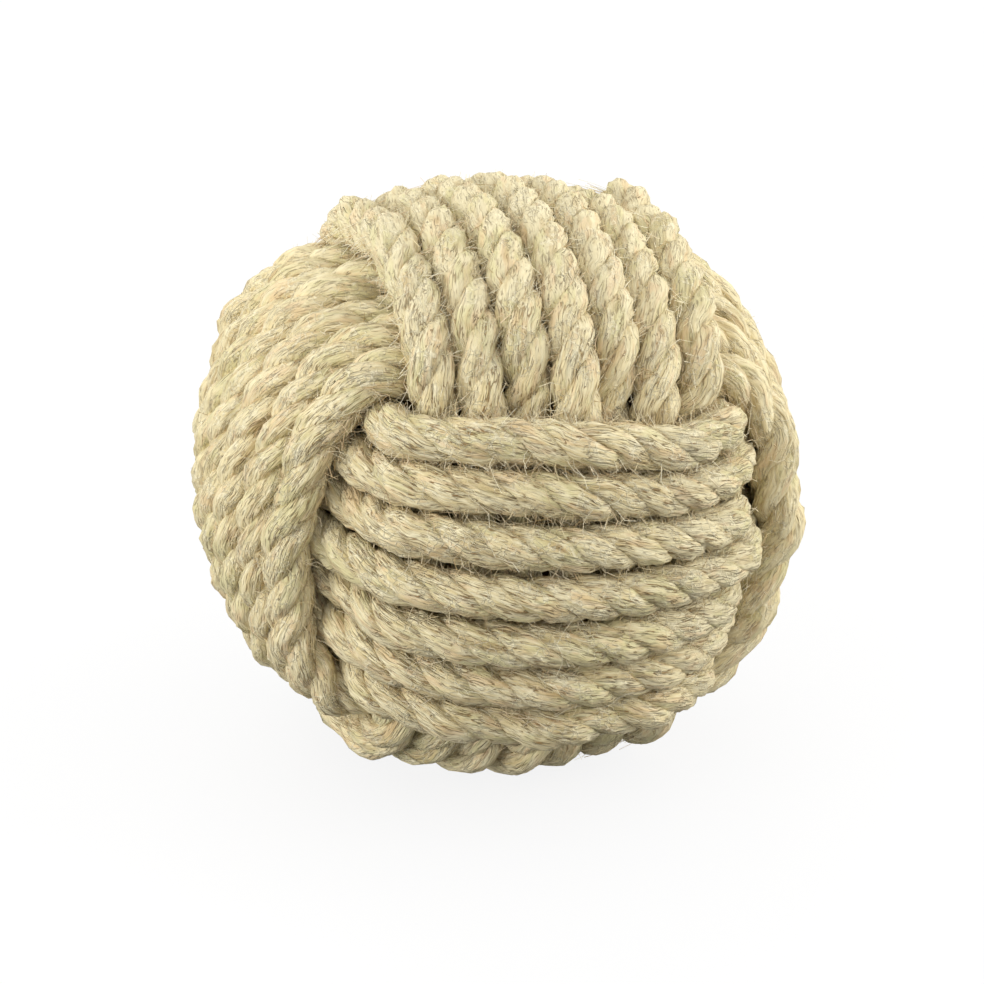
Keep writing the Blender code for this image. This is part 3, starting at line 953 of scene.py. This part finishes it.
# %% Wood finish on the core ball
RING_GRAIN, PORE_GRAIN = 2600, (900.0, 900.0, 60.0)
ACROSS = (1.0, 1.0, 0.0)

wood_look, g, shader = new_look("core_wood", 0.6, 0.4)
place = g.object_place() - CENTRE
bent = g.noise(place, 30.0, 2.0) - 0.5
rings = (((place * ACROSS).size() + bent * 0.006) * RING_GRAIN).sine() * 0.5 + 0.5
pores = g.noise(place * PORE_GRAIN, 1.0, 2.0)
base = g.mix(rings, colour(150, 112, 72), colour(190, 154, 108))
base = g.mix(pores.ramp(0.6, 0.75) * 0.5, base, colour(112, 80, 50))
bump = g.node("ShaderNodeBump", {}, {"Strength": 0.3, "Distance": 0.0003, "Height": pores})
paint(g, shader, base, bump)
core = frame["nodes"]["core_ball"]
core.data.materials.clear()
core.data.materials.append(wood_look)
print("core ball has", core.data.materials[0].name)

# %% [markdown]
# ## The studio
#
# The picture is a plain product shot: white all round, and hardly a shadow. Even white light comes
# from everywhere, a soft box behind the ball brightens its top, and one low at each side lifts its
# edges. The floor is pale and keeps a faint shadow, so the ball stands on it. It is pale only where
# it is seen, by the camera or in a reflection. For the light that it throws back it is dark,
# because a pale one would light the ball's underside, which is dim in the picture.

# %% Pale floor


def bare_graph(owner):
    """Empty node tree of a material or a world."""
    owner.use_nodes = True
    owner.node_tree.nodes.clear()
    return Graph(owner.node_tree)


SEEN_TONE, UNSEEN_TONE, SEEN_GLOW = 0.85, 0.15, 0.86

floor_look = bpy.data.materials.new("studio_floor")
g = bare_graph(floor_look)
path = g.node("ShaderNodeLightPath", {}, {})
seen = path.output("Is Camera Ray").at_least(path.output("Is Glossy Ray"))
seen = seen.at_least(path.output("Is Transmission Ray"))
tone = seen * (SEEN_TONE - UNSEEN_TONE) + UNSEEN_TONE
matt = g.node("ShaderNodeBsdfDiffuse", {}, {"Color": g.vector(tone, tone, tone)})
glow = g.node("ShaderNodeEmission", {}, {"Color": (1.0, 1.0, 1.0, 1.0), "Strength": 1.0})
both = g.node("ShaderNodeMixShader", {}, {0: seen * SEEN_GLOW, 1: matt, 2: glow})
g.node("ShaderNodeOutputMaterial", {}, {"Surface": both})

FLOOR_HALF, FLOOR_LEVEL = 3, -0.0001
floor_mesh = bpy.data.meshes.new("floor")
corners = [(-1, -1), (1, -1), (1, 1), (-1, 1)]
floor_mesh.from_pydata(
    [(x * FLOOR_HALF, y * FLOOR_HALF, FLOOR_LEVEL) for x, y in corners], [], [(0, 1, 2, 3)])
floor_mesh.materials.append(floor_look)
floor = bpy.data.objects.new("floor", floor_mesh)
bpy.context.scene.collection.objects.link(floor)
floor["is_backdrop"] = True
print("floor: %d m square" % (2 * FLOOR_HALF))

# %% White surroundings
world = bpy.data.worlds.new("studio")
bpy.context.scene.world = world
g = bare_graph(world)
sky = g.node("ShaderNodeBackground", {}, {"Color": (1.0, 1.0, 1.0, 1.0), "Strength": 1.0})
g.node("ShaderNodeOutputWorld", {}, {"Surface": sky})
print("surroundings: even white light")

# %% Soft lamps


def soft_box(name, place, width, watts):
    """Square area lamp that faces the ball."""
    data = bpy.data.lights.new(name, "AREA")
    data.shape = "SQUARE"
    data.size = width
    data.energy = watts
    lamp = bpy.data.objects.new(name, data)
    bpy.context.scene.collection.objects.link(lamp)
    lamp.location = place
    aim = Vector(BALL_CENTRE) - Vector(place)
    lamp.rotation_euler = aim.to_track_quat("-Z", "Y").to_euler()


soft_box("overhead", (0.0, 0.9, 0.95), 0.9, 3.0)
soft_box("left_fill", (-1.4, -0.2, 0.12), 1.1, 21.0)
soft_box("right_fill", (1.4, -0.3, 0.2), 1.1, 23.0)
print("three soft boxes")

# %% [markdown]
# ## The camera
#
# The picture was taken from the front left and a little above, with a long lens. The camera aims
# slightly under the ball's middle, because the ball sits a little high in the frame.

# %% Place the camera
AZIMUTH, ELEVATION = math.radians(-18), math.radians(27)
DISTANCE = 1.2
SENSOR_WIDTH = 36
FRAME_PIXELS = 984
PIXELS_PER_METRE = 4800
BALL_COLUMN, BALL_ROW, FRAME_MIDDLE = 494, 473, 492
back = Vector((
    math.sin(AZIMUTH) * math.cos(ELEVATION), -math.cos(AZIMUTH) * math.cos(ELEVATION),
    math.sin(ELEVATION)))
turned = (-back).to_track_quat("-Z", "Y")
right = turned @ Vector((1, 0, 0))
upright = turned @ Vector((0, 1, 0))
shift = (
    -right * (BALL_COLUMN - FRAME_MIDDLE) / PIXELS_PER_METRE
    + upright * (BALL_ROW - FRAME_MIDDLE) / PIXELS_PER_METRE)
camera_data = bpy.data.cameras.new("camera")
camera_data.sensor_width = SENSOR_WIDTH
camera_data.lens = SENSOR_WIDTH * PIXELS_PER_METRE * DISTANCE / FRAME_PIXELS
camera_data.clip_start, camera_data.clip_end = 0.05, 20
camera = bpy.data.objects.new("camera", camera_data)
bpy.context.scene.collection.objects.link(camera)
camera.location = Vector(BALL_CENTRE) + shift + back * DISTANCE
camera.rotation_euler = turned.to_euler()
bpy.context.scene.camera = camera
bpy.context.scene.view_settings.view_transform = "Standard"
print("lens %.0f mm at %.1f m" % (camera_data.lens, DISTANCE))

# %% Compare the dressed ball with the solid one, and finish
dressed_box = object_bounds()
for label, (low, high) in (("solid", solid_box), ("dressed", dressed_box)):
    print(label, "size", [round(v * 1000, 1) for v in high - low], "mm")
